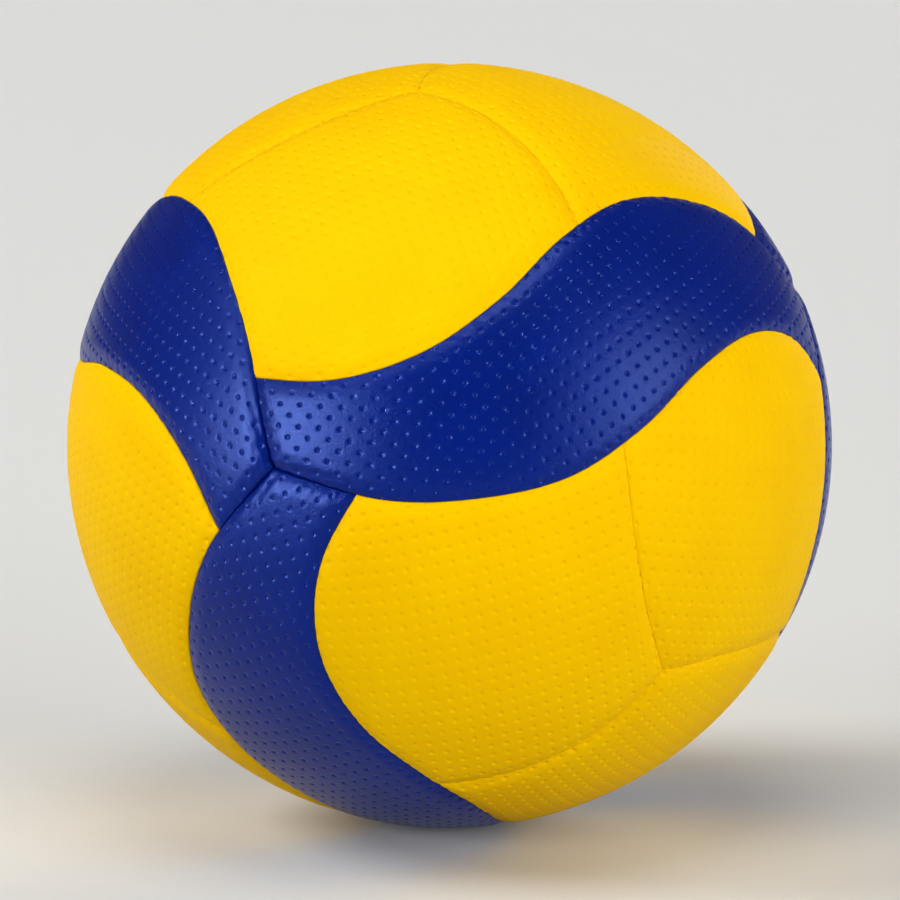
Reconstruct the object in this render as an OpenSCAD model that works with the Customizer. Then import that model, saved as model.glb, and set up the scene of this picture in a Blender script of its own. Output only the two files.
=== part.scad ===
// Volleyball: eighteen glued cover panels over a wound bladder.
// The origin is the middle of the ball, and the valve points along +Y.
// Six blue strips cross the faces of an imagined cube, one strip to a face, and twelve
// yellow panels fill the rest. One strip edge and one yellow seam, turned into twelve
// places by the turns of a tetrahedron, draw every seam of the ball.

/* [Ball] */
// Diameter of the blown-up ball, over its covers
ball_d = 210; // [180:1:240]

/* [Panels] */
// Width of a blue strip at its middle
strip_w = 56; // [50:1:62]
// How far the seam between two yellow panels bows sideways
seam_bow = 7; // [0:0.5:10]
// Gap left between the edges of two panels
seam_gap = 0.2; // [0.1:0.05:0.6]
// Width of the edge that rolls down into a seam
roll_w = 6; // [4:0.25:7]
// How far the edges roll down into a seam beside a blue strip
roll_drop = 0.7; // [0.4:0.1:1.5]
// How far they roll down into the seam between two yellow panels
seam_drop = 0.4; // [0.3:0.1:1.5]
// How much deeper the roll is where three blue strips meet
corner_drop = 1.2; // [0:0.1:1.2]
// How far the deeper roll reaches from that corner
corner_reach = 24; // [12:1:32]

/* [Walls] */
// Leather of a panel's cover
cover_wall = 1; // [0.7:0.1:1.4]
// Leather of the cover's edge, turned down beside the foam
hem_wall = 0.8; // [0.5:0.1:1.5]
// Foam behind each cover
foam_wall = 2.4; // [1.6:0.1:4]
// Rubber skin that the panels are glued to
skin_wall = 0.7; // [0.4:0.1:1.5]
// Nylon thread wound round the bladder
winding_wall = 0.4; // [0.2:0.1:1]
// Butyl bladder
bladder_wall = 0.7; // [0.5:0.1:1.5]
// Layer of rubber cement on each side of the valve's patch
cement_wall = 0.2; // [0.1:0.05:0.3]

/* [Valve] */
// Diameter of the valve's barrel, whose round end shows in a panel
barrel_d = 8; // [6.5:0.25:12]
// How far the barrel reaches into the air behind its flange
barrel_reach = 9; // [6:0.5:14]
// How far the barrel's end lies below the cover's surface
barrel_sink = 0.4; // [0.2:0.1:0.8]
// Clearance round the barrel in the layers that it passes
barrel_clearance = 0.1; // [0.05:0.05:0.3]
// Diameter of the flange bonded inside the bladder
flange_d = 26; // [18:1:34]
// Thickness of that flange
flange_wall = 1.2; // [0.8:0.1:2]
// Diameter of the patch between the bladder and the flange
patch_d = 38; // [36:1:60]
// Thickness of the patch
patch_wall = 0.6; // [0.4:0.1:1.2]
// Diameter of the rubber core's shank
core_d = 4.4; // [3.6:0.1:5]
// Diameter of the core's head
core_head_d = 5.8; // [5.4:0.1:6]
// Thickness of the core's head
core_head_l = 1.4; // [1:0.1:2]
// Length of the core below its head
core_shank_l = 11; // [9:0.5:13]
// Clearance between the core and the barrel
core_clearance = 0.05; // [0.02:0.01:0.1]
// Diameter of the hole for the pump's needle
needle_d = 2.2; // [1.8:0.1:2.4]
// Length of that hole
needle_l = 6; // [4:0.5:7]
// Depth of the funnel that leads a needle in
funnel_l = 0.7; // [0.4:0.1:0.9]
// Width of the slit that seals behind the needle
slit_w = 0.2; // [0.1:0.05:0.3]
// Length of the slit across the core
slit_l = 2.6; // [2:0.1:3]

/* [Hidden] */
// How the ball lies: turns about X, Y and Z that take the imagined cube to its place
lie_angles = [59.8, 28.9, 10.7];
// Depth of the strip's lower edge below its middle line, as shares of the strip's width,
// at equal steps from the corner where it starts to the corner where it would end
edge_shares = [0, 0.36, 0.54, 0.6, 0.5, 0.31, 0.21, 0.27, 0.5];
// Sideways bow of a yellow seam, as shares of its largest bow, at equal steps
bow_shares = [0, 0.42, 0.78, 0.96, 0.97, 0.65, 0];
// Where the next strip's tip ends on that edge, as a share of half a strip, from its middle
tip_share = -0.81;
// Where a yellow seam leaves that edge, as a share of half a strip
fork_share = -0.07;
// Steps along the edge from the corner to the tip, from the tip to the fork, from the
// fork to the edge's end, and along a yellow seam
tip_steps = 2;
fork_steps = 9;
end_steps = 9;
bow_steps = 6;
// Steps across a rolled edge
roll_steps = 3;
// Height of the cutting wedges over the ball, as a share of its radius
overrun_share = 0.15;
// Depth at which a rolled edge's last facet ends below the round of the ball
roll_sink = 0.02;
// How much wider than the hole's radius the funnel's mouth is
funnel_flare = 0.5;
// Blue and yellow of the leather, and the plainer colours inside
blue = [0.07, 0.17, 0.52];
yellow = [0.99, 0.82, 0.05];
foam_white = [0.93, 0.92, 0.87];
rubber_tan = [0.72, 0.6, 0.42];
nylon_grey = [0.8, 0.82, 0.85];
rubber_black = [0.13, 0.13, 0.14];
$fn = 96;

// Radius of each layer's outer surface, from the cover inwards
ball_r = ball_d / 2;
foam_r = ball_r - cover_wall;
skin_r = foam_r - foam_wall;
winding_r = skin_r - skin_wall;
bladder_r = winding_r - winding_wall;
patch_r = bladder_r - bladder_wall - cement_wall;
flange_r = patch_r - patch_wall - cement_wall;
air_r = flange_r - flange_wall;
// Ends of the barrel and of the core's holes, from the middle of the ball
barrel_top = ball_r - barrel_sink;
barrel_end = air_r - barrel_reach;
core_end = barrel_top - core_head_l - core_shank_l;
// Angle from a strip's middle to the corner where it ends, seen from the ball's middle
half_span = atan(sqrt(2));
// The strip's width and the seam's bow as angles seen from there
strip_angle = 360 * strip_w / (PI * ball_d);
bow_angle = 360 * seam_bow / (PI * ball_d);

// Unit vector of a list of three
function unit(v) = v / norm(v);

// Smooth curve through a list of shares, at a place counted in steps from its start
function share_at(shares, place) =
    let (last = len(shares) - 1,
         i = min(max(floor(place), 0), last - 1),
         f = place - i,
         before = i > 0 ? shares[i - 1] : 2 * shares[0] - shares[1],
         after = i < last - 1 ? shares[i + 2] : 2 * shares[last] - shares[last - 1],
         a = shares[i],
         b = shares[i + 1])
    a + f * (b - before) / 2 + f ^ 2 * (before - 2.5 * a + 2 * b - after / 2)
      + f ^ 3 * (3 * a - before - 3 * b + after) / 2;

// Direction at an angle along a strip and an angle up from its middle line. The strip of
// the +Z face runs along that face's diagonal.
function direction(along, up) =
    let (side = cos(up) * sin(along), rise = sin(up))
    [(side - rise) / sqrt(2), (side + rise) / sqrt(2), cos(up) * cos(along)];

// The two angles of a direction
function along_of(v) = atan2((v[0] + v[1]) / sqrt(2), v[2]);
function up_of(v) = asin((v[1] - v[0]) / sqrt(2));

// Half a turn about the middle of the +Z strip, which swaps the strip's two edges
function half_turned(v) = [-v[0], -v[1], v[2]];

// A third of a turn about the corner where three yellow panels meet, which takes the
// strip to the next one round that corner
function third_turned(v) = [v[2], -v[0], -v[1]];

// Lower edge of the strip as its curve alone gives it, at an angle along the strip
function plain_edge(along) =
    -strip_angle * share_at(edge_shares, (along / half_span + 1) / 2 * (len(edge_shares) - 1));

// The edge ends exactly on the next strip, and bends to it over the stretch from the fork
fork_along = fork_share * half_span;
tip = direction(tip_share * half_span, plain_edge(tip_share * half_span));
end_along = along_of(third_turned(tip));
end_rise = up_of(third_turned(tip)) - plain_edge(end_along);
function edge(along) =
    let (run = max(along - fork_along, 0) / (end_along - fork_along))
    direction(along, plain_edge(along) + end_rise * run ^ 3);

// Points along the edge between two places, and their number of steps
function edge_run(from, to, steps) =
    [for (i = [0:steps]) edge(from + (to - from) * i / steps)];

// Points along the yellow seam from the fork to the corner where three yellow panels meet
fork_up = plain_edge(fork_along);
function seam_run() =
    [for (i = [0:bow_steps])
        let (run = i / bow_steps,
             bow = bow_angle * share_at(bow_shares, run * (len(bow_shares) - 1)))
        direction(fork_along * (1 - run) - bow, fork_up + (-half_span - fork_up) * run)];

// A list without its last point, and a list turned end for end
function but_last(list) = [for (i = [0:len(list) - 2]) list[i]];
function reversed(list) = [for (i = [len(list) - 1:-1:0]) list[i]];

corner_run = edge_run(-half_span, tip_share * half_span, tip_steps);
middle_run = edge_run(tip_share * half_span, fork_along, fork_steps);
end_run = edge_run(fork_along, end_along, end_steps);

// Outline of the +Z strip: its lower edge from corner to corner, and the same half turned
strip_edge = concat(but_last(corner_run), but_last(middle_run), but_last(end_run),
                    but_last([for (v = reversed(corner_run)) third_turned(v)]));
strip_outline = concat(strip_edge, [for (v = strip_edge) half_turned(v)]);

// Outline of the yellow panel below that strip's end: back along the edge to the fork,
// down the seam to the corner, and up the next panel's seam and edge
panel_side = concat(but_last(reversed(end_run)), but_last(seam_run()));
next_side = concat(but_last([for (v = reversed(seam_run())) third_turned(v)]),
                   but_last([for (v = reversed(middle_run)) third_turned(v)]));
panel_outline = concat(panel_side, next_side);

// Signs of the four corners where three blue strips meet, which are also the even changes
// of sign
signs = [[1, 1, 1], [1, -1, -1], [-1, 1, -1], [-1, -1, 1]];

// How deep the edge rolls at a point of a strip's outline: deeper near such a corner
function edge_drop(v) =
    let (nearness = max([for (s = signs) v * s]) / sqrt(3),
         reach = acos(min(nearness, 1)) * PI / 180 * ball_r)
    roll_drop + corner_drop * max(1 - reach / corner_reach, 0) ^ 2;

// The depths of the roll round a strip, and round a yellow panel, whose two seams with
// other yellow panels follow each other between the edges of two strips
strip_drops = [for (v = strip_outline) edge_drop(v)];
panel_drops = [for (i = [0:len(panel_outline) - 1])
    i > end_steps && i < end_steps + 2 * bow_steps ? seam_drop : edge_drop(panel_outline[i])];

// Direction on the ball that points into a panel at each of its outline's points, long
// enough that the two edges there move in by the same distance
function inward(outline) =
    [for (i = [0:len(outline) - 1])
        let (count = len(outline),
             here = outline[i],
             left = unit(cross(here, here - outline[(i + count - 1) % count])),
             right = unit(cross(here, outline[(i + 1) % count] - here)))
        (left + right) / (1 + left * right)];

// Points of an outline moved in by a distance, at the height that a rolled edge has there
function roll_ring(outline, drops, inset, height) =
    let (ways = inward(outline), rest = max(1 - inset / roll_w, 0) ^ 2)
    [for (i = [0:len(outline) - 1])
        unit(outline[i] + ways[i] * (seam_gap / 2 + inset) / ball_r)
            * (height - drops[i] * rest)];

// Solid from the middle of the ball out through an outline, with its rolled edge: rings
// of points, the last one well outside the ball, closed by rungs from edge to edge
module wedge(outline, drops, insets, height) {
    rings = concat(
        [for (inset = insets)
            roll_ring(outline, drops, inset, height - (inset < roll_w ? 0 : roll_sink))],
        [roll_ring(outline, drops, roll_w, ball_r * (1 + overrun_share))]);
    n = len(outline);
    count = len(rings);
    points = concat([[0, 0, 0]], [for (ring = rings) each ring]);
    last = 1 + (count - 1) * n;
    faces = concat(
        [for (i = [0:n - 1]) [0, 1 + i, 1 + (i + 1) % n]],
        [for (k = [0:count - 2], i = [0:n - 1])
            let (a = 1 + k * n + i, b = 1 + k * n + (i + 1) % n)
            each [[a, a + n, b + n], [a, b + n, b]]],
        [[last + n - 1, last + 1, last]],
        [for (i = [1:n / 2 - 2])
            let (a = last + i, b = last + n - i)
            each [[b, b - 1, a + 1], [b, a + 1, a]]],
        [[last + n / 2 + 1, last + n / 2, last + n / 2 - 1]]);
    polyhedron(points, faces, convexity = 6);
}

// The leather and its turned-down edge, outside the foam and on the carcass
module cover(outline, drops) {
    difference() {
        intersection() {
            wedge(outline, drops, [for (k = [0:roll_steps]) roll_w * k / roll_steps], ball_r);
            sphere(ball_r);
        }
        sphere(skin_r);
        cushion_space(outline, drops);
    }
}

// The room inside a cover, down to the middle of the ball
module cushion_space(outline, drops) {
    intersection() {
        wedge(outline, drops, [hem_wall, roll_w], foam_r);
        sphere(foam_r);
    }
}

// The foam that fills a cover
module cushion(outline, drops) {
    difference() {
        cushion_space(outline, drops);
        sphere(skin_r);
    }
}

// The twelve turns that leave a tetrahedron as it is: an even change of signs, and then
// the axes passed on in a cycle
function turn(cycle, sign) =
    [for (i = [0:2]) [for (j = [0:2]) j == (i + cycle) % 3 ? signs[sign][j] : 0]];

// A strip has two of the turns, which differ by half a turn about its middle
blue_turns = [for (cycle = [0:2], sign = [0, 1]) turn(cycle, sign)];
yellow_turns = [for (cycle = [0:2], sign = [0:3]) turn(cycle, sign)];

// The ball's own lie as a matrix, to find the panel that has the valve
function about_x(a) = [[1, 0, 0], [0, cos(a), -sin(a)], [0, sin(a), cos(a)]];
function about_y(a) = [[cos(a), 0, sin(a)], [0, 1, 0], [-sin(a), 0, cos(a)]];
function about_z(a) = [[cos(a), -sin(a), 0], [sin(a), cos(a), 0], [0, 0, 1]];
lie_turn = about_z(lie_angles[2]) * about_y(lie_angles[1]) * about_x(lie_angles[0]);
function sum_of(list, i = 0) = i < len(list) ? list[i] + sum_of(list, i + 1) : [0, 0, 0];
panel_middle = unit(sum_of(panel_outline));
valve_nearness = [for (t = yellow_turns) (lie_turn * t * panel_middle)[1]];
valve_panel = search(max(valve_nearness), valve_nearness)[0];

// Puts a panel of the +Z strip in its place on the ball
module placed(turn) {
    multmatrix(lie_turn * turn) children();
}

// Stands what is drawn along +Z on the valve's axis, +Y
module on_valve_axis() {
    rotate([-90, 0, 0]) children();
}

// The hole through the layers for the valve's barrel
module barrel_hole() {
    on_valve_axis() cylinder(r = barrel_d / 2 + barrel_clearance, h = ball_r * (1 + overrun_share));
}

// A hollow ball with the hole for the barrel
module layer(outside, wall) {
    difference() {
        sphere(outside);
        sphere(outside - wall);
        barrel_hole();
    }
}

// A round piece of a layer, about the valve
module round_piece(outside, wall, diameter) {
    intersection() {
        difference() {
            sphere(outside);
            sphere(outside - wall);
        }
        on_valve_axis() cylinder(d = diameter, h = ball_r);
    }
}

module blue_panel(i) {
    color(blue) placed(blue_turns[i - 1]) cover(strip_outline, strip_drops);
}

module yellow_panel(i) {
    color(yellow) difference() {
        placed(yellow_turns[i - 1]) cover(panel_outline, panel_drops);
        if (i - 1 == valve_panel) barrel_hole();
    }
}

module blue_foam(i) {
    color(foam_white) placed(blue_turns[i - 1]) cushion(strip_outline, strip_drops);
}

module yellow_foam(i) {
    color(foam_white) difference() {
        placed(yellow_turns[i - 1]) cushion(panel_outline, panel_drops);
        if (i - 1 == valve_panel) barrel_hole();
    }
}

module carcass_skin() {
    color(rubber_tan) layer(skin_r, skin_wall);
}

module nylon_winding() {
    color(nylon_grey) layer(winding_r, winding_wall);
}

module bladder() {
    color(rubber_black) layer(bladder_r, bladder_wall);
}

module valve_patch() {
    color(rubber_tan) difference() {
        round_piece(patch_r, patch_wall, patch_d);
        barrel_hole();
    }
}

// The barrel, its flange inside the bladder, and the stepped hole for the core
module valve_housing() {
    color(rubber_black) difference() {
        union() {
            on_valve_axis() translate([0, 0, barrel_end])
                cylinder(d = barrel_d, h = barrel_top - barrel_end);
            round_piece(flange_r, flange_wall, flange_d);
        }
        on_valve_axis() translate([0, 0, barrel_end - barrel_reach])
            cylinder(r = core_d / 2 + core_clearance, h = ball_r);
        on_valve_axis() translate([0, 0, barrel_top - core_head_l])
            cylinder(r = core_head_d / 2 + core_clearance, h = ball_r);
    }
}

// The rubber plug: head and shank, the needle's hole with its funnel, and the sealing slit
module valve_core() {
    needle_top = barrel_top - funnel_l;
    needle_end = needle_top - needle_l;
    color(rubber_black) on_valve_axis() difference() {
        union() {
            translate([0, 0, core_end]) cylinder(d = core_d, h = barrel_top - core_end);
            translate([0, 0, barrel_top - core_head_l]) cylinder(d = core_head_d, h = core_head_l);
        }
        translate([0, 0, needle_end]) cylinder(d = needle_d, h = ball_r);
        translate([0, 0, needle_top])
            cylinder(d1 = needle_d, d2 = needle_d + 4 * funnel_flare, h = 2 * funnel_l);
        translate([-slit_l / 2, -slit_w / 2, barrel_end]) cube([slit_l, slit_w, ball_r - barrel_end]);
    }
}

for (i = [1:6]) blue_panel(i);
for (i = [1:12]) yellow_panel(i);
for (i = [1:6]) blue_foam(i);
for (i = [1:12]) yellow_foam(i);
carcass_skin();
nylon_winding();
bladder();
valve_patch();
valve_housing();
valve_core();
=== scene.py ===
import math

import bpy
import numpy as np
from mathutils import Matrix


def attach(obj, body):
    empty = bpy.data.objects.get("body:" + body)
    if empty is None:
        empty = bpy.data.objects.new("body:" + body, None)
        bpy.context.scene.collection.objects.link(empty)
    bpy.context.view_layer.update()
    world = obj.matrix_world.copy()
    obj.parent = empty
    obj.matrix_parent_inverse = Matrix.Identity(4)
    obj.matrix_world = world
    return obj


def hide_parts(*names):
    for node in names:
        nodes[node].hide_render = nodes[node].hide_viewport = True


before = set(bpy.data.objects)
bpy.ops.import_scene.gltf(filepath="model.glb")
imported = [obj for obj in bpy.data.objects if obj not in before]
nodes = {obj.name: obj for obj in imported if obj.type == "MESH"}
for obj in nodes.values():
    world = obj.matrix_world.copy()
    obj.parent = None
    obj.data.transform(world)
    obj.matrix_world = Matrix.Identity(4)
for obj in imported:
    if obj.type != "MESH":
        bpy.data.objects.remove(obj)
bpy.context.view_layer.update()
print("frame loaded:", len(nodes), "nodes")

# Everything is in metres, and the ball's middle is the origin.

# The camera, at the photograph's viewing angle
view = {
    "elevation": 10,  # degrees above the horizon
    "distance": 1.932,
    "lens": 281.1,  # mm
    "sensor": 36,  # mm
    "nearest": 0.05,
    "farthest": 50,
    "aim": (0.00014, 0.0, -0.0013),
}


def makeCamera():
    data = bpy.data.cameras.new("camera")
    data.lens = view["lens"]
    data.sensor_width = view["sensor"]
    data.clip_start, data.clip_end = view["nearest"], view["farthest"]
    camera = bpy.data.objects.new("camera", data)
    bpy.context.scene.collection.objects.link(camera)
    tilt = math.radians(view["elevation"])
    x, y, z = view["aim"]
    reach = view["distance"]
    camera.location = (x, y - reach * math.cos(tilt), z + reach * math.sin(tilt))
    camera.rotation_euler = (math.pi / 2 - tilt, 0, 0)
    bpy.context.scene.camera = camera


makeCamera()

# The ball and its layers, as in the part's source, but with its seams almost closed
ball = {
    "diameter": 0.210,
    "lie": (59.8, 28.9, 10.7),  # turns about X, Y and Z, in degrees
    "coverWall": 0.001,
    "hemWall": 0.0008,
    "foamWall": 0.0024,
    "seamGap": 0.00004,
    "holeRadius": 0.0041,  # round the valve's barrel
}
ballRadius = ball["diameter"] / 2
foamRadius = ballRadius - ball["coverWall"]
skinRadius = foamRadius - ball["foamWall"]

# The seams' run over the ball
net = {
    "stripWidth": 0.056,
    "seamBow": 0.007,
    "edgeShares": (0, 0.36, 0.54, 0.6, 0.5, 0.31, 0.21, 0.27, 0.5),
    "bowShares": (0, 0.42, 0.78, 0.96, 0.97, 0.65, 0),
    "tipShare": -0.81,
    "forkShare": -0.07,
    "samples": 700,
}
# The corners where three blue strips meet, which are also the even changes of sign
signs = ((1, 1, 1), (1, -1, -1), (-1, 1, -1), (-1, -1, 1))
halfSpan = math.atan(math.sqrt(2))
stripAngle = net["stripWidth"] / ballRadius
bowAngle = net["seamBow"] / ballRadius


def unit(v):
    return v / np.linalg.norm(v, axis=-1, keepdims=True)


# Catmull-Rom curve through a list of shares, at places counted in steps from its start
def shareAt(shares, place):
    s = np.asarray(shares, float)
    last = len(s) - 1
    s = np.concatenate([[2 * s[0] - s[1]], s, [2 * s[-1] - s[-2]]])
    i = np.clip(np.floor(place).astype(int), 0, last - 1)
    f = place - i
    before, a, b, after = s[i], s[i + 1], s[i + 2], s[i + 3]
    return (
        a
        + f * (b - before) / 2
        + f**2 * (before - 2.5 * a + 2 * b - after / 2)
        + f**3 * (3 * a - before - 3 * b + after) / 2
    )


# Unit vector at an angle along a strip and an angle up from its middle line; the strip of
# the +Z face runs along that face's diagonal
def direction(along, up):
    side, rise = np.cos(up) * np.sin(along), np.sin(up)
    x, y = (side - rise) / math.sqrt(2), (side + rise) / math.sqrt(2)
    return np.stack([x, y, np.cos(up) * np.cos(along)], -1)


# The two angles of a direction
def chart(v):
    along = np.arctan2((v[..., 0] + v[..., 1]) / math.sqrt(2), v[..., 2])
    return along, np.arcsin(np.clip((v[..., 1] - v[..., 0]) / math.sqrt(2), -1, 1))


# Half a turn about the strip's middle, and a third of a turn about the corner of three
# yellow panels
def halfTurned(v):
    return v * (-1, -1, 1)


def thirdTurned(v):
    return np.stack([v[..., 2], -v[..., 0], -v[..., 1]], -1)


# The strip's lower edge: minus the strip's angle times the curve of its shares, with a
# cubic bend that ends it on the next strip
def plainEdge(along):
    steps = len(net["edgeShares"]) - 1
    return -stripAngle * shareAt(net["edgeShares"], (along / halfSpan + 1) / 2 * steps)


forkAlong = net["forkShare"] * halfSpan
tipAlong = net["tipShare"] * halfSpan
tipTurned = thirdTurned(direction(np.array(tipAlong), plainEdge(np.array(tipAlong))))
endAlong, endUp = (float(a) for a in chart(tipTurned))
endRise = endUp - float(plainEdge(np.array(endAlong)))


# The lower edge from one place along the strip to another: the plain edge, plus the rise of
# its end times the cube of the share of the way from the fork
def edge(start, end):
    along = np.linspace(start, end, net["samples"])
    run = np.maximum(along - forkAlong, 0) / (endAlong - forkAlong)
    return direction(along, plainEdge(along) + endRise * run**3)


# The yellow seam: straight in both angles from the fork to the corner, less its bow
def seam():
    run = np.linspace(0, 1, net["samples"])
    forkUp = float(plainEdge(np.array(forkAlong)))
    bow = bowAngle * shareAt(net["bowShares"], run * (len(net["bowShares"]) - 1))
    return direction(forkAlong * (1 - run) - bow, forkUp + (-halfSpan - forkUp) * run)


lowerEdge = edge(-halfSpan, endAlong)
stripEnd = thirdTurned(edge(-halfSpan, tipAlong))[::-1]
yellowSeam = seam()

# Sides of each panel as bottom, right, top and left, run round anticlockwise from outside
stripSides = [lowerEdge, stripEnd, halfTurned(lowerEdge), halfTurned(stripEnd)]
panelSides = [
    thirdTurned(yellowSeam)[::-1],
    thirdTurned(edge(tipAlong, forkAlong))[::-1],
    edge(forkAlong, endAlong)[::-1],
    yellowSeam,
]
print("seams laid out")


# Points of a curve at shares of its length
def alongCurve(points, places):
    steps = np.linalg.norm(np.diff(points, axis=0), axis=1)
    run = np.concatenate([[0], np.cumsum(steps)])
    return unit(np.stack([np.interp(places * run[-1], run, p) for p in points.T], -1))


# The sides moved in by a distance, square to themselves, and at a corner so that both
# sides move in alike
def movedIn(sides, distance):
    loop = np.concatenate([side[:-1] for side in sides])
    before = unit(np.cross(loop, loop - np.roll(loop, 1, 0)))
    after = unit(np.cross(loop, np.roll(loop, -1, 0) - loop))
    ways = (before + after) / (1 + (before * after).sum(-1, keepdims=True))
    loop = unit(loop + ways * distance / ballRadius)
    cuts = np.cumsum([len(side) - 1 for side in sides])[:-1]
    moved = np.split(loop, cuts)
    return [np.concatenate([a, b[:1]]) for a, b in zip(moved, moved[1:] + moved[:1])]


# Places from 0 to 1 whose steps shrink towards both ends
def gradedPlaces(count, least, reach):
    k = np.arange(count) + 0.5
    steps = 1 - (1 - least) * (np.exp(-k / reach) + np.exp(-(count - k) / reach))
    return np.concatenate([[0], np.cumsum(steps)]) / steps.sum()


# Coons patch: ruled between bottom and top, plus ruled between left and right, less the
# bilinear patch of the corners, put back on the ball
def patch(sides, u, v):
    bottom, right = alongCurve(sides[0], u), alongCurve(sides[1], v)
    top, left = alongCurve(sides[2][::-1], u), alongCurve(sides[3][::-1], v)
    u, v = u[:, None, None], v[None, :, None]
    ruled = (1 - v) * bottom[:, None] + v * top[:, None] + (1 - u) * left[None] + u * right[None]
    corners = (1 - u) * ((1 - v) * bottom[0] + v * top[0]) + u * ((1 - v) * bottom[-1] + v * top[-1])
    return unit(ruled - corners)


# Points that are measured at once, which keeps the memory small
batch = 4000


# Straight distance from each point to a curve: to the two steps beside its nearest sample
def distanceTo(points, curve):
    found = np.empty(len(points))
    starts, steps = curve[:-1], np.diff(curve, axis=0)
    lengths = (steps**2).sum(-1)
    for first in range(0, len(points), batch):
        some = points[first : first + batch]
        nearest = (some @ curve.T).argmax(1)
        best = np.full(len(some), np.inf)
        for k in (np.maximum(nearest - 1, 0), np.minimum(nearest, len(steps) - 1)):
            share = np.clip(((some - starts[k]) * steps[k]).sum(-1) / lengths[k], 0, 1)
            gap = np.linalg.norm(some - starts[k] - share[:, None] * steps[k], axis=-1)
            best = np.minimum(best, gap)
        found[first : first + batch] = best
    return found * ballRadius


# How the leather rolls down to a seam
roll = {
    "drop": 0.00095,
    "width": 0.0055,
    "yellowDrop": 0.00095,  # between two yellow panels
    "yellowWidth": 0.006,
    "cornerDrop": 0.00098,  # more, where three blue strips meet
    "cornerWidth": 0.0008,
    "cornerReach": 0.036,
    "lip": 0.00028,  # radius at the very edge
    "yellowLip": 0.00008,
    "cornerLip": 0.0008,
    "sharpness": 3,  # how little two rolls add up in a corner
}
cornerPoints = unit(np.array(signs, float))


# How near a point is to a corner of three blue strips: the square of the share of the
# reach that is left
def cornerShare(points):
    near = (points @ cornerPoints.T).max(-1)
    reach = np.arccos(np.clip(near, -1, 1)) * ballRadius
    return np.maximum(1 - reach / roll["cornerReach"], 0) ** 2


# Drop at a distance from a side: the drop times the square of the share of its width that
# is left, plus a lip that is a quarter of a circle; the sides are joined as a sum of powers
def rollDrop(points, sides, yellow):
    deeper = cornerShare(points)
    total, lip = np.zeros(len(points)), np.zeros(len(points))
    least = np.full(len(points), np.inf)
    for side, soft in zip(sides, yellow):
        gap = distanceTo(points, side)
        least = np.minimum(least, gap)
        drop = roll["yellowDrop"] if soft else roll["drop"] + roll["cornerDrop"] * deeper
        width = roll["yellowWidth"] if soft else roll["width"] + roll["cornerWidth"] * deeper
        bend = roll["yellowLip"] if soft else roll["lip"] + roll["cornerLip"] * deeper
        total += (drop * np.maximum(1 - gap / width, 0) ** 2) ** roll["sharpness"]
        inLip = np.clip(1 - gap / bend, 0, 1)
        lip = np.maximum(lip, bend * (1 - np.sqrt(1 - inLip**2)))
    return total ** (1 / roll["sharpness"]) + lip, least


# The dimples pressed into the leather, in a square pattern
dimple = {
    "pitch": 0.0041,
    "radius": 0.00105,
    "depth": 0.00025,
    "clearOfEdge": 0.00028,
    "rimRadius": 0.00085,  # of the finer pit pressed within it, which the material adds
    "rimDepth": 0.00005,
}


# Places counted in dimples along and across the turned square pattern
def dimplePlaces(x, y, angle, phase):
    turn = math.radians(angle)
    p = (x * math.cos(turn) + y * math.sin(turn)) / dimple["pitch"] + phase[0]
    q = (y * math.cos(turn) - x * math.sin(turn)) / dimple["pitch"] + phase[1]
    return np.column_stack([p, q])


# Depth of the dimples: half of one plus the cosine of the share of a dimple's radius, at
# the distance to the nearest whole place
def dimpleDepth(places):
    away = np.linalg.norm(places - np.round(places), axis=1) * dimple["pitch"]
    share = np.minimum(away / dimple["radius"], 1)
    return (1 + np.cos(math.pi * share)) / 2


# Unevenness of the glued edges; each wave has its pace along x and y, and how far a panel's
# phase shifts it
pucker = {
    "height": 0.00011,
    "cornerHeight": 0.0002,
    "length": 0.0058,
    "reach": 0.0065,
    "firstWave": (1, 0.4, 9),
    "crossedWave": (-0.3, 0.7, 7),
    "shortWave": (1.2, 1.7, 5),
    "shortShare": 0.5,
}


# A sine wave in one of those directions
def wave(x, y, settings, phase):
    alongX, alongY, shift = settings
    return np.sin(2 * math.pi / pucker["length"] * (alongX * x + alongY * y) + shift * phase)


# Height of the puckers: two crossed sine waves multiplied, plus a share of a shorter one,
# times the square of the share of the reach that is left from the edge
def puckerHeight(x, y, gap, corner, phase):
    waves = wave(x, y, pucker["firstWave"], phase[0]) * wave(x, y, pucker["crossedWave"], phase[1])
    waves = waves + pucker["shortShare"] * wave(x, y, pucker["shortWave"], phase[0])
    left = np.maximum(1 - gap / pucker["reach"], 0) ** 2
    return (pucker["height"] + pucker["cornerHeight"] * corner) * waves * left


# Turns of the ball as matrices
def axisTurn(axis, degrees):
    c, s = math.cos(math.radians(degrees)), math.sin(math.radians(degrees))
    m = np.eye(3)
    a, b = [k for k in range(3) if k != axis]
    m[a, a], m[b, b] = c, c
    m[a, b], m[b, a] = (-s, s) if axis != 1 else (s, -s)
    return m


lieTurn = axisTurn(2, ball["lie"][2]) @ axisTurn(1, ball["lie"][1]) @ axisTurn(0, ball["lie"][0])


# A copy's turn: an even change of signs, a cycle of the axes, and then the ball's lie
def panelTurn(cycle, sign):
    m = np.zeros((3, 3))
    for i in range(3):
        m[i, (i + cycle) % 3] = signs[sign][(i + cycle) % 3]
    return lieTurn @ m


# Edges bent more than this, in degrees, are shaded sharp
sharpAngle = 50


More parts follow.
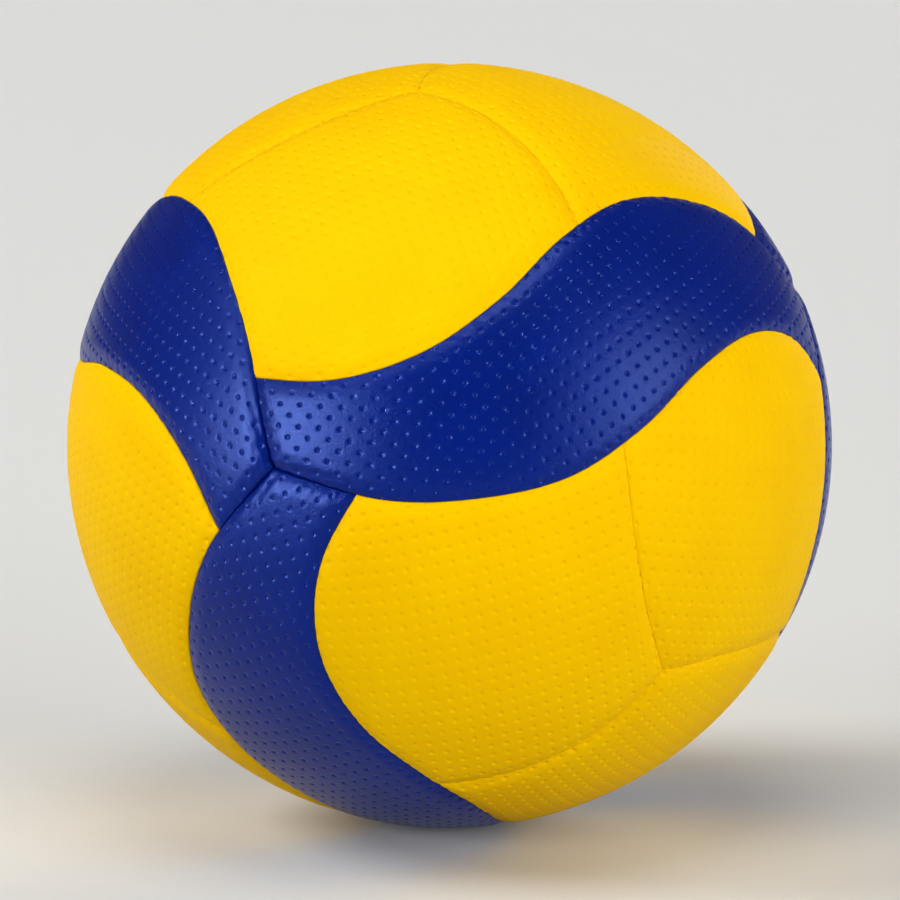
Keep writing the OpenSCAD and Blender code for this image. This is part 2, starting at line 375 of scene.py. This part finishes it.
# One mesh from whole arrays, with a map for each corner
def makeObject(name, points, quads, triangles, quadMap, triangleMap, material):
    mesh = bpy.data.meshes.new(name)
    corners = np.concatenate([quads.ravel(), triangles.ravel()]).astype(np.int32)
    starts = np.concatenate(
        [np.arange(len(quads)) * 4, quads.size + np.arange(len(triangles)) * 3]
    ).astype(np.int32)
    mesh.vertices.add(len(points))
    mesh.vertices.foreach_set("co", points.astype(np.float32).ravel())
    mesh.loops.add(len(corners))
    mesh.loops.foreach_set("vertex_index", corners)
    mesh.polygons.add(len(starts))
    mesh.polygons.foreach_set("loop_start", starts)
    mesh.update(calc_edges=True)
    if mesh.validate():
        print("mended", name)
    mesh.polygons.foreach_set("use_smooth", np.ones(len(mesh.polygons), bool))
    layer = mesh.uv_layers.new(name="OFBake")
    places = np.concatenate([quadMap.reshape(-1, 2), triangleMap.reshape(-1, 2)])
    layer.uv.foreach_set("vector", places.astype(np.float32).ravel())
    mesh.set_sharp_from_angle(angle=math.radians(sharpAngle))
    mesh.materials.append(material)
    made = bpy.data.objects.new(name, mesh)
    bpy.context.scene.collection.objects.link(made)
    return made


# Faces of a closed panel: its top grid, rings down and round its edge, and an underside
# whose rows are wider apart, joined to the last ring by fans. The loop round the edge runs
# along the bottom, the right, the top and the left.
def closedPanel(columns, rows, rings, underRows):
    index = np.arange((columns + 1) * (rows + 1)).reshape(columns + 1, rows + 1)
    loop = np.concatenate([index[:-1, 0], index[-1, :-1], index[:0:-1, -1], index[0, :0:-1]])
    size = len(loop)
    tops = np.stack([index[:-1, :-1], index[1:, :-1], index[1:, 1:], index[:-1, 1:]], -1)
    tops = tops.reshape(-1, 4)
    ringIndex = [loop] + [index.size + k * size + np.arange(size) for k in range(rings)]
    walls = [
        np.stack([a, b, np.roll(b, -1), np.roll(a, -1)], -1)
        for a, b in zip(ringIndex, ringIndex[1:])
    ]
    first = index.size + rings * size
    inner = first + np.arange((columns - 1) * (underRows - 1)).reshape(columns - 1, -1)
    last = np.concatenate([ringIndex[-1], ringIndex[-1][:1]])
    bottom, right = last[: columns + 1], last[columns : columns + rows + 1]
    top = last[columns + rows : 2 * columns + rows + 1][::-1]
    left = last[2 * columns + rows :][::-1]
    across = np.concatenate([bottom[1:-1, None], inner, top[1:-1, None]], 1)
    unders = np.stack([across[:-1, :-1], across[:-1, 1:], across[1:, 1:], across[1:, :-1]], -1)
    fans = []
    for fine, coarse, flip in ((left, across[0], False), (right, across[-1], True)):
        share = rows // underRows
        apex = np.repeat(coarse[1:], share)
        fan = [
            np.stack([fine[:-1], fine[1:], apex], -1),
            np.stack([fine[:-1:share], coarse[1:], coarse[:-1]], -1),
        ]
        fans += [f[:, ::-1] if flip else f for f in fan]
    return tops, np.concatenate(walls), unders.reshape(-1, 4), np.concatenate(fans)


# Where a panel's map puts its faces in the unit square
layout = {
    "left": 0.02,
    "width": 0.96,
    "topFoot": 0.1,
    "topHeight": 0.88,
    "wallFoot": 0.06,  # of the first ring, and the others follow below it
    "ringHeight": 0.01,
    "underFoot": 0.005,
    "underHeight": 0.03,
    "fan": ((0.001, 0.001), (0.002, 0.004), (0.003, 0.001)),  # shared by all narrow fans
}


# A panel's map: its top fills the square but for a strip at the foot, which takes the
# walls and the underside
def panelMap(columns, rows, u, v, walls, unders, fans):
    start, width = layout["left"], layout["width"]
    rise = layout["topFoot"] + layout["topHeight"] * v
    across, up = np.meshgrid(start + width * u, rise, indexing="ij")
    spot = np.stack([across, up], -1)
    tops = np.stack([spot[:-1, :-1], spot[1:, :-1], spot[1:, 1:], spot[:-1, 1:]], -2)
    count = 2 * (columns + rows)
    ring, step = np.divmod(np.arange(len(walls)), count)
    x0, x1 = start + width * step / count, start + width * (step + 1) / count
    y1 = layout["wallFoot"] - layout["ringHeight"] * ring
    y0 = y1 + layout["ringHeight"]
    wallCorners = ((x0, y0), (x0, y1), (x1, y1), (x1, y0))
    wallMap = np.stack([np.stack(corner, -1) for corner in wallCorners], -2)
    underRows = len(unders) // (columns - 2)
    column, row = np.divmod(np.arange(len(unders)), underRows)
    x0, x1 = (start + width * (column + a) / (columns - 2) for a in (0, 1))
    y0, y1 = (layout["underFoot"] + layout["underHeight"] * (row + b) / underRows for b in (0, 1))
    underCorners = ((x0, y0), (x0, y1), (x1, y1), (x1, y0))
    underMap = np.stack([np.stack(corner, -1) for corner in underCorners], -2)
    fanMap = np.tile(layout["fan"], (len(fans), 1, 1))
    return np.concatenate([tops.reshape(-1, 4, 2), wallMap, underMap]), fanMap


# Points of the closed loop round moved-in sides, at the places of the grid's edge
def loopPoints(sides, u, v):
    runs = [u, v, 1 - u[::-1], 1 - v[::-1]]
    return np.concatenate([alongCurve(s, r)[:-1] for s, r in zip(sides, runs)])


# A material with one shader and nothing else
def newMaterial(name):
    material = bpy.data.materials.new(name)
    material.use_nodes = True
    tree = material.node_tree
    tree.nodes.clear()
    output = tree.nodes.new("ShaderNodeOutputMaterial")
    shader = tree.nodes.new("ShaderNodeBsdfPrincipled")
    tree.links.new(shader.outputs["BSDF"], output.inputs["Surface"])
    return material, tree, shader


# A colour as it is seen turned into linear light
def linear(colour):
    light = [c / 12.92 if c <= 0.04045 else ((c + 0.055) / 1.055) ** 2.4 for c in colour]
    return (*light, 1)


# A shader node: a setting goes to the socket of that name, or else to the node itself
def node(tree, kind, **settings):
    made = tree.nodes.new(kind)
    for key, value in settings.items():
        if key in made.inputs.keys():
            made.inputs[key].default_value = value
        else:
            setattr(made, key, value)
    return made


# A node of one sum, fed by sockets or numbers in order
def reckon(tree, operation, *values):
    made = node(tree, "ShaderNodeMath", operation=operation)
    for socket, value in zip(made.inputs, values):
        if isinstance(value, bpy.types.NodeSocket):
            tree.links.new(value, socket)
        else:
            socket.default_value = value
    return made.outputs["Value"]


# Colour between a dark one and a plain one, from a socket that runs from 0 to 1
def twoTones(tree, dark, colour, factor):
    tint = node(tree, "ShaderNodeMix", data_type="RGBA")
    tint.inputs[6].default_value, tint.inputs[7].default_value = linear(dark), linear(colour)
    tree.links.new(factor, tint.inputs[0])
    return tint.outputs[2]


blueLeather = {
    "colour": (0.0, 0.1, 0.455),
    "dark": (0.0, 0.085, 0.42),
    "rough": (0.25, 0.35),
    "specular": 0.6,
    "gloss": (0.2, 0.34, 1.0),  # tint of the reflections
    "grain": 0.000085,
    "pit": 1.1,  # depth of its dimples, as a share of the pattern's
}
yellowLeather = {
    "colour": (0.97, 0.765, 0.0),
    "dark": (0.96, 0.745, 0.0),
    "rough": (0.5, 0.62),
    "specular": 0.06,
    "gloss": (1.0, 0.8, 0.1),
    "grain": 0.00004,
    "pit": 1.5,
}
grain = {
    "pore": 2600,
    "poreShare": 0.08,
    "poreEdge": 3.0,  # how steeply a pore's wall rises
    "crease": 1000,
    "creaseDetail": 1.5,
    "creaseTwist": 1.5,
    "cloud": 45,
    "cloudDetail": 4.0,
    "cloudRange": (0.3, 0.6),  # of the noise, from the dark tone to the plain one
    "pitPolish": 0.09,  # how much less rough the pressed dimples are
    "pitFlat": 0.6,  # and how much of the grain they lose
}


# How far a dimple's finer pit is pressed in, from 0 to 1: half of one plus the cosine of
# the share of its radius, at the distance to the nearest whole place
def pressedShare(tree):
    place = node(tree, "ShaderNodeAttribute", attribute_name="dimplePlace")
    parts = node(tree, "ShaderNodeSeparateXYZ")
    tree.links.new(place.outputs["Vector"], parts.inputs["Vector"])
    squares = []
    for axis in ("X", "Y"):
        whole = reckon(tree, "ROUND", parts.outputs[axis])
        off = reckon(tree, "SUBTRACT", parts.outputs[axis], whole)
        squares.append(reckon(tree, "POWER", off, 2.0))
    away = reckon(tree, "SQRT", reckon(tree, "ADD", *squares))
    share = reckon(tree, "MULTIPLY", away, dimple["pitch"] / dimple["rimRadius"])
    share = reckon(tree, "MINIMUM", share, 1.0)
    cosine = reckon(tree, "COSINE", reckon(tree, "MULTIPLY", share, math.pi))
    hollow = reckon(tree, "MULTIPLY", reckon(tree, "ADD", cosine, 1.0), 0.5)
    return reckon(tree, "MULTIPLY", hollow, parts.outputs["Z"])


# Fine wrinkled grain over the pressed dimples, cloudy in tone; the dimples are smoother and
# lose some of the grain
def leather(name, finish):
    material, tree, shader = newMaterial(name)
    links = tree.links
    place = node(tree, "ShaderNodeTexCoord")
    cloud = node(tree, "ShaderNodeTexNoise", Scale=grain["cloud"], Detail=grain["cloudDetail"])
    crease = node(
        tree,
        "ShaderNodeTexNoise",
        Scale=grain["crease"],
        Detail=grain["creaseDetail"],
        Distortion=grain["creaseTwist"],
    )
    pore = node(tree, "ShaderNodeTexVoronoi", feature="DISTANCE_TO_EDGE", Scale=grain["pore"])
    for texture in (cloud, pore, crease):
        links.new(place.outputs["Object"], texture.inputs["Vector"])

    least, most = grain["cloudRange"]
    tone = node(tree, "ShaderNodeMapRange", **{"From Min": least, "From Max": most})
    links.new(cloud.outputs["Fac"], tone.inputs["Value"])
    tint = twoTones(tree, finish["dark"], finish["colour"], tone.outputs["Result"])
    links.new(tint, shader.inputs["Base Color"])

    pressed = pressedShare(tree)
    low, high = finish["rough"]
    rough = node(tree, "ShaderNodeMapRange", **{"To Min": low, "To Max": high})
    links.new(crease.outputs["Fac"], rough.inputs["Value"])
    polish = reckon(tree, "MULTIPLY", pressed, grain["pitPolish"])
    links.new(reckon(tree, "SUBTRACT", rough.outputs["Result"], polish), shader.inputs["Roughness"])

    wall = reckon(tree, "MULTIPLY", pore.outputs["Distance"], grain["poreEdge"])
    pores = reckon(tree, "MINIMUM", wall, 1.0)
    pores = reckon(tree, "MULTIPLY", pores, finish["grain"] * grain["poreShare"])
    creases = reckon(tree, "MULTIPLY", crease.outputs["Fac"], finish["grain"])
    left = reckon(tree, "SUBTRACT", 1.0, reckon(tree, "MULTIPLY", pressed, grain["pitFlat"]))
    fine = reckon(tree, "MULTIPLY", reckon(tree, "ADD", creases, pores), left)
    pit = reckon(tree, "MULTIPLY", pressed, finish["pit"] * dimple["rimDepth"])
    bump = node(tree, "ShaderNodeBump", Strength=1.0, Distance=1.0)
    links.new(reckon(tree, "SUBTRACT", fine, pit), bump.inputs["Height"])
    links.new(bump.outputs["Normal"], shader.inputs["Normal"])
    shader.inputs["Specular IOR Level"].default_value = finish["specular"]
    shader.inputs["Specular Tint"].default_value = (*finish["gloss"], 1)
    return material


cellFoam = {
    "colour": (0.94, 0.93, 0.89),
    "dark": (0.86, 0.85, 0.8),
    "rough": 0.9,
    "texture": "ShaderNodeTexVoronoi",
    "scale": 1500,
    "height": 0.0001,
}
tanRubber = {
    "colour": (0.76, 0.64, 0.45),
    "dark": (0.68, 0.55, 0.36),
    "rough": 0.6,
    "texture": "ShaderNodeTexNoise",
    "scale": 260,
    "height": 0.00005,
}
blackRubber = {
    "colour": (0.1, 0.1, 0.105),
    "dark": (0.06, 0.06, 0.065),
    "rough": 0.5,
    "texture": "ShaderNodeTexNoise",
    "scale": 420,
    "height": 0.00004,
}
nylonThread = {
    "colour": (0.86, 0.88, 0.9),
    "dark": (0.6, 0.62, 0.65),
    "rough": 0.5,
    "texture": "ShaderNodeTexWave",
    "scale": 320,
    "height": 0.0003,
}
plainBump = 0.6  # strength of the bump on these four


# Plain rubber, foam or thread: two tones and a bump from one texture
def plainFinish(name, finish):
    material, tree, shader = newMaterial(name)
    links = tree.links
    place = node(tree, "ShaderNodeTexCoord")
    texture = node(tree, finish["texture"], Scale=finish["scale"])
    links.new(place.outputs["Object"], texture.inputs["Vector"])
    value = texture.outputs[0]
    links.new(twoTones(tree, finish["dark"], finish["colour"], value), shader.inputs["Base Color"])
    bump = node(tree, "ShaderNodeBump", Strength=plainBump, Distance=finish["height"])
    links.new(value, bump.inputs["Height"])
    links.new(bump.outputs["Normal"], shader.inputs["Normal"])
    shader.inputs["Roughness"].default_value = finish["rough"]
    return material


blueFinish = leather("blueMicrofibre", blueLeather)
yellowFinish = leather("yellowMicrofibre", yellowLeather)
foamFinish = plainFinish("cellFoam", cellFoam)
tanFinish = plainFinish("tanRubber", tanRubber)
blackFinish = plainFinish("blackRubber", blackRubber)
threadFinish = plainFinish("nylonThread", nylonThread)
print("materials made")

# The covers: one grid for each kind of panel, and the turns that place its copies
stripCover = {
    "columns": 500,
    "rows": 150,
    "share": 10,  # rows of the top to one row of the underside
    "angles": (17.5, 19, 15.5, 21.8, 18, 9),  # of the dimples' rows
}
panelCover = {
    "columns": 170,
    "rows": 170,
    "share": 10,
    "angles": (34.5, 38, 40, 37.6, 39, 42.5, 36, 41, 38, 35, 37.6, 38.5),
}
pad = {"clearance": 0.00004, "skinClearance": 0.00012, "leastWall": 0.0003}
edgeSteps = (0.05, 5)  # least step at an edge, and how many steps it takes to grow
phaseSteps = (0.37, 0.23)  # how far each copy's dimples are shifted past the last one's


# Middle of a four-sided panel and the two axes there: across, and towards its first corner
def middleAxes(sides):
    middle = unit(sum(side[0] for side in sides))
    towards = sides[0][0] - middle * (sides[0][0] @ middle)
    towards = towards / np.linalg.norm(towards)
    return middle, np.cross(towards, middle), towards


# Flat places of points round a middle, at their true distance and heading from it
def flattened(points, middle, across, towards):
    angle = np.arccos(np.clip(points @ middle, -1, 1))
    scale = ballRadius * angle / np.maximum(np.sin(angle), 1e-9)
    return points @ across * scale, points @ towards * scale


# What all copies of one kind of panel share: its grid, its drop and its faces
def prepare(sides, size, yellow):
    columns, rows, share = size["columns"], size["rows"], size["share"]
    u, v = gradedPlaces(columns, *edgeSteps), gradedPlaces(rows, *edgeSteps)
    outer = movedIn(sides, ball["seamGap"] / 2)
    inner = movedIn(sides, ball["seamGap"] / 2 + ball["hemWall"])

    def sunk(points, radius, least):
        return points * np.maximum(radius - rollDrop(points, outer, yellow)[0], least)[:, None]

    top = patch(outer, u, v).reshape(-1, 3)
    drop, gap = rollDrop(top, outer, yellow)
    edgeLoop, hemLoop = loopPoints(outer, u, v), loopPoints(inner, u, v)
    under = patch(inner, u, v[::share])[1:-1, 1:-1].reshape(-1, 3)
    least = skinRadius + pad["leastWall"]
    rest = [
        edgeLoop * skinRadius,
        hemLoop * skinRadius,
        sunk(hemLoop, foamRadius, least),
        sunk(under, foamRadius, least),
    ]
    if sides is stripSides:
        x, y = (angle * ballRadius for angle in chart(top))
    else:
        x, y = flattened(top, *middleAxes(sides))
    kept = np.clip(gap / dimple["clearOfEdge"], 0, 1)

    # The foam: the same panel within the hem, at the underside's rows
    inside = movedIn(sides, ball["seamGap"] / 2 + ball["hemWall"] + pad["clearance"])
    uPad, vPad = u[::share], v[::share]
    foamGrid = patch(inside, uPad, vPad)
    foamRadii = foamRadius - pad["clearance"], least - pad["clearance"]
    foamTop = sunk(foamGrid.reshape(-1, 3), *foamRadii)
    base = skinRadius + pad["skinClearance"]
    foamUnder = foamGrid[1:-1, 1:-1].reshape(-1, 3) * base
    foamFaces = closedPanel(columns // share, rows // share, 1, rows // share)
    faces = closedPanel(columns, rows, len(rest) - 1, rows // share)
    return {
        "top": top,
        "drop": drop,
        "gap": gap,
        "corner": cornerShare(top),
        "rest": np.concatenate(rest),
        "x": x,
        "y": y,
        "kept": kept * kept * (3 - 2 * kept),
        "faces": faces,
        "maps": panelMap(columns, rows, u, v, *faces[1:]),
        "foam": np.concatenate([foamTop, loopPoints(inside, uPad, vPad) * base, foamUnder]),
        "foamFaces": foamFaces,
        "foamMaps": panelMap(columns // share, rows // share, uPad, vPad, *foamFaces[1:]),
    }


# One cover: the ball's radius less the drop, plus the puckers, less the dimples
def makeCover(name, shape, turn, angle, phase, finish, material):
    places = dimplePlaces(shape["x"], shape["y"], angle, phase)
    uneven = puckerHeight(shape["x"], shape["y"], shape["gap"], shape["corner"], phase)
    pits = finish["pit"] * dimple["depth"] * dimpleDepth(places) * shape["kept"]
    radius = np.minimum(ballRadius - shape["drop"] + uneven, ballRadius) - pits
    points = np.concatenate([shape["top"] * radius[:, None], shape["rest"]]) @ turn.T
    tops, walls, unders, fans = shape["faces"]
    quads = np.concatenate([tops, walls, unders])
    made = makeObject(name, points, quads, fans, *shape["maps"], material)
    values = np.zeros((len(points), 3))
    values[: len(places)] = np.column_stack([places, shape["kept"]])
    layer = made.data.attributes.new("dimplePlace", "FLOAT_VECTOR", "POINT")
    layer.data.foreach_set("vector", values.astype(np.float32).ravel())
    return made


# Cuts the round hole for the valve's barrel along +Y: a turned shape, straight and then
# flared by a quarter of a circle to a soft mouth at the leather's surface
valveHole = {
    "panel": 8,
    "mouth": 0.0006,  # radius of the flare
    "mouthSink": 0.1,  # how far below the ball's surface the flare ends, as a share of the mouth
    "mouthEnd": 0.98,  # share of the quarter of a circle that is used
    "sides": 96,
    "flareSteps": 6,
    "start": 0.09,
    "overrun": 0.005,
}


def barrelCutter():
    count, steps = valveHole["sides"], valveHole["flareSteps"]
    bend = np.linspace(0, 1, steps + 1)
    mouth = ballRadius - valveHole["mouth"] * (1 + valveHole["mouthSink"] - bend)
    y = np.concatenate([[valveHole["start"]], mouth, [ballRadius + valveHole["overrun"]]])
    bend = np.minimum(bend, valveHole["mouthEnd"])
    flare = valveHole["mouth"] * (1 - np.sqrt(1 - bend**2))
    radius = ball["holeRadius"] + np.concatenate([[0], flare, flare[-1:]])
    turns = np.arange(count) * 2 * math.pi / count
    x, z = radius[:, None] * np.sin(turns), radius[:, None] * np.cos(turns)
    rings = np.stack([x, np.repeat(y[:, None], count, 1), z], -1)
    index = np.arange(rings[..., 0].size).reshape(len(y), count)
    ahead = np.roll(index, -1, 1)
    walls = np.stack([index[:-1], ahead[:-1], ahead[1:], index[1:]], -1).reshape(-1, 4)
    ends = [index[0, ::-1].tolist(), index[-1].tolist()]
    mesh = bpy.data.meshes.new("barrelCutter")
    mesh.from_pydata(rings.reshape(-1, 3).tolist(), [], walls.tolist() + ends)
    cutter = bpy.data.objects.new("barrelCutter", mesh)
    bpy.context.scene.collection.objects.link(cutter)
    return cutter


# The piece's own mesh less the cutter
def cutHole(piece, cutter):
    modifier = piece.modifiers.new("hole", "BOOLEAN")
    modifier.operation, modifier.solver, modifier.object = "DIFFERENCE", "EXACT", cutter
    bpy.context.view_layer.update()
    seen = piece.evaluated_get(bpy.context.evaluated_depsgraph_get())
    mesh = bpy.data.meshes.new_from_object(seen)
    piece.modifiers.clear()
    piece.data = mesh
    print("hole cut in", piece.name, len(mesh.polygons), "faces")


# The foam under a cover, turned to its place
def makePad(name, shape, turn):
    tops, walls, unders, fans = shape["foamFaces"]
    quads = np.concatenate([tops, walls, unders])
    made = makeObject(name, shape["foam"] @ turn.T, quads, fans, *shape["foamMaps"], foamFinish)
    return made


def finishPiece(piece, cadNode):
    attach(piece, "root")
    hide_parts(cadNode)


stripShape = prepare(stripSides, stripCover, (False, False, False, False))
panelShape = prepare(panelSides, panelCover, (True, False, False, True))
print("panel shapes worked out")

stripTurns = [panelTurn(cycle, sign) for cycle in range(3) for sign in range(2)]
panelTurns = [panelTurn(cycle, sign) for cycle in range(3) for sign in range(4)]
cutter = barrelCutter()
for colour, shape, turns, cover, finish, material in (
    ("blue", stripShape, stripTurns, stripCover, blueLeather, blueFinish),
    ("yellow", panelShape, panelTurns, panelCover, yellowLeather, yellowFinish),
):
    for i, turn in enumerate(turns):
        phase = [step * i for step in phaseSteps]
        angle = cover["angles"][i]
        skin = makeCover(f"{colour}Cover{i + 1}", shape, turn, angle, phase, finish, material)
        foam = makePad(f"{colour}Pad{i + 1}", shape, turn)
        if colour == "yellow" and i + 1 == valveHole["panel"]:
            cutHole(skin, cutter)
            cutHole(foam, cutter)
        finishPiece(skin, f"{colour}_panel_{i + 1}")
        finishPiece(foam, f"{colour}_foam_{i + 1}")
    print(colour, "covers and pads made:", len(turns))
bpy.data.objects.remove(cutter)

for name, finish in (
    ("carcass_skin", tanFinish),
    ("nylon_winding", threadFinish),
    ("bladder", blackFinish),
    ("valve_patch", tanFinish),
    ("valve_housing", blackFinish),
    ("valve_core", blackFinish),
):
    nodes[name].data.materials.clear()
    nodes[name].data.materials.append(finish)

# Floor and light
stage = {
    "reach": 9.0,
    "colour": (0.87, 0.87, 0.86),  # as the camera and the gloss see it
    "bounce": (0.62, 0.62, 0.61),  # what the ball is lit by
    "rough": 0.9,
    "specular": 0.1,
}
# Each lamp's heading from straight ahead and its elevation, both in degrees, its size, its
# share of the light that shows a colour as it is written, and its share in the gloss
lamps = {
    "left": (-92, 40, 4.0, 0.52, 0),
    "side": (-52, 10, 4.8, 0.58, 1.15),
    "upper": (-60, 45, 5.0, 0, 0.17),
    "front": (36, 8, 3.2, 0.5, 0),
    "right": (65, 13, 5.6, 0.44, 0.54),
    "top": (0, 78, 4.5, 0.25, 0.35),
    "back": (160, 15, 4.5, 0.56, 0),
}
lampDistance = 8.0
skyLight = 0.08


# A square floor that touches the ball from below
def makeFloor():
    reach, level = stage["reach"], -ballRadius
    corners = np.array([[-1, -1], [1, -1], [1, 1], [-1, 1]], float) * reach
    points = np.column_stack([corners, np.full(4, level)])
    material, tree, shader = newMaterial("paleFloor")
    seen = node(tree, "ShaderNodeLightPath").outputs
    shown = reckon(tree, "MAXIMUM", seen["Is Glossy Ray"], seen["Is Transmission Ray"])
    shown = reckon(tree, "MAXIMUM", shown, seen["Is Camera Ray"])
    tone = twoTones(tree, stage["bounce"], stage["colour"], shown)
    tree.links.new(tone, shader.inputs["Base Color"])
    shader.inputs["Roughness"].default_value = stage["rough"]
    shader.inputs["Specular IOR Level"].default_value = stage["specular"]
    mesh = bpy.data.meshes.new("floor")
    mesh.from_pydata(points.tolist(), [], [(0, 1, 2, 3)])
    mesh.materials.append(material)
    floor = bpy.data.objects.new("floor", mesh)
    bpy.context.scene.collection.objects.link(floor)


# A round lamp facing the ball; at a share of 1 its power, the square of pi times its distance,
# shows a white surface that faces it as white
def makeLamp(name, heading, elevation, size, share):
    data = bpy.data.lights.new(name, "AREA")
    data.shape = "DISK"
    data.size = size
    data.energy = share * (math.pi * lampDistance) ** 2
    lamp = bpy.data.objects.new(name, data)
    bpy.context.scene.collection.objects.link(lamp)
    way, up = math.radians(heading), math.radians(elevation)
    lamp.location = (
        lampDistance * math.sin(way) * math.cos(up),
        -lampDistance * math.cos(way) * math.cos(up),
        lampDistance * math.sin(up),
    )
    lamp.rotation_euler = (math.pi / 2 - up, 0, way)
    return lamp


# Up to two lamps in each place: a box that lights the colours and that no gloss shows, and
# a gleam that only the gloss shows
def makeLamps():
    for name, (heading, elevation, size, share, glossShare) in lamps.items():
        if share:
            makeLamp(name + "Box", heading, elevation, size, share).visible_glossy = False
        if glossShare:
            gleam = makeLamp(name + "Gleam", heading, elevation, size, glossShare)
            gleam.visible_diffuse = False
            gleam.data.cycles.use_multiple_importance_sampling = False


# An even sky
def makeSky():
    world = bpy.data.worlds.new("sky")
    world.use_nodes = True
    background = world.node_tree.nodes["Background"]
    background.inputs["Color"].default_value = (1, 1, 1, 1)
    background.inputs["Strength"].default_value = skyLight
    bpy.context.scene.world = world


makeFloor()
makeLamps()
makeSky()
bpy.context.scene.view_settings.view_transform = "Standard"
print("stage lit")
